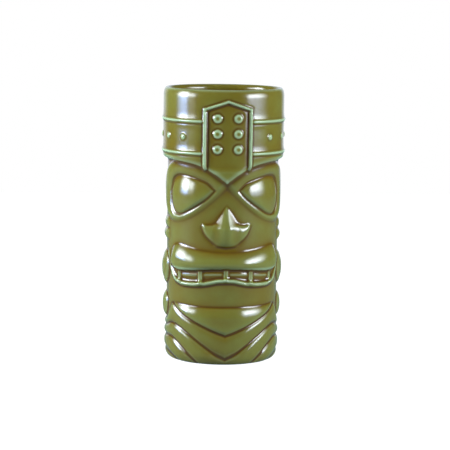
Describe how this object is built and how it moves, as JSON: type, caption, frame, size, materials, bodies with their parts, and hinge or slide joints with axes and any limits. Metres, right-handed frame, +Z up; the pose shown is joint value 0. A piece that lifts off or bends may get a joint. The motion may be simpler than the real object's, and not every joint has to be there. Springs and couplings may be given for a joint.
{
  "type": "tiki mug",
  "caption": "Tall hollow glazed drinking mug with a stylised carved face, studded headdress band, forehead plaque and chevron beard.",
  "frame": {"origin": "centre of the round foot, on the surface the mug stands on", "axes": "+Z up along the mug's axis, the face looks along -Y, the mug's left ear as seen from the front is at -X"},
  "size_m": [0.076, 0.0761, 0.167],
  "materials": {
    "olive_glaze": "high gloss transparent olive glaze over stoneware",
    "pale_glaze": "the same glaze where it runs thin and pale over raised edges",
    "deep_glaze": "the same glaze where it pools thick and dark in a recess"
  },
  "bodies": {
    "root": {"vessel": "olive_glaze", "brow_shield": "olive_glaze", "lower_hoop": "pale_glaze", "upper_hoop": "pale_glaze", "band_stud_01": "pale_glaze", "band_stud_02": "pale_glaze", "band_stud_03": "pale_glaze", "band_stud_04": "pale_glaze", "band_stud_05": "pale_glaze", "band_stud_06": "pale_glaze", "band_stud_07": "pale_glaze", "band_stud_08": "pale_glaze", "band_stud_09": "pale_glaze", "band_stud_10": "pale_glaze", "band_stud_11": "pale_glaze", "band_stud_12": "pale_glaze", "band_stud_13": "pale_glaze", "forehead_plaque": "deep_glaze", "plaque_frame": "pale_glaze", "plaque_stud_low_left": "olive_glaze", "plaque_stud_low_right": "olive_glaze", "plaque_stud_middle_left": "olive_glaze", "plaque_stud_middle_right": "olive_glaze", "plaque_stud_high_left": "olive_glaze", "plaque_stud_high_right": "olive_glaze", "eye_left": "olive_glaze", "eye_right": "olive_glaze", "eye_surround_left": "olive_glaze", "eye_surround_right": "olive_glaze", "nose_bridge": "olive_glaze", "nostril_wings": "olive_glaze", "upper_lip": "olive_glaze", "lower_lip": "pale_glaze", "tooth_post_1": "pale_glaze", "tooth_post_2": "pale_glaze", "tooth_post_3": "pale_glaze", "tooth_post_4": "pale_glaze", "tooth_post_5": "pale_glaze", "tooth_bar_1": "pale_glaze", "tooth_bar_2": "pale_glaze", "tooth_bar_3": "pale_glaze", "tooth_bar_4": "pale_glaze", "ear_fold_upper_left": "olive_glaze", "ear_fold_upper_right": "olive_glaze", "ear_fold_lower_left": "olive_glaze", "ear_fold_lower_right": "olive_glaze", "ear_disc_left": "olive_glaze", "ear_disc_right": "olive_glaze", "lobe_disc_left": "olive_glaze", "lobe_disc_right": "olive_glaze", "chin_shield": "olive_glaze", "beard_band_upper": "olive_glaze", "beard_band_middle_left": "olive_glaze", "beard_band_middle_right": "olive_glaze", "beard_band_lower_left": "olive_glaze", "beard_band_lower_right": "olive_glaze"}
  },
  "joints": []
}
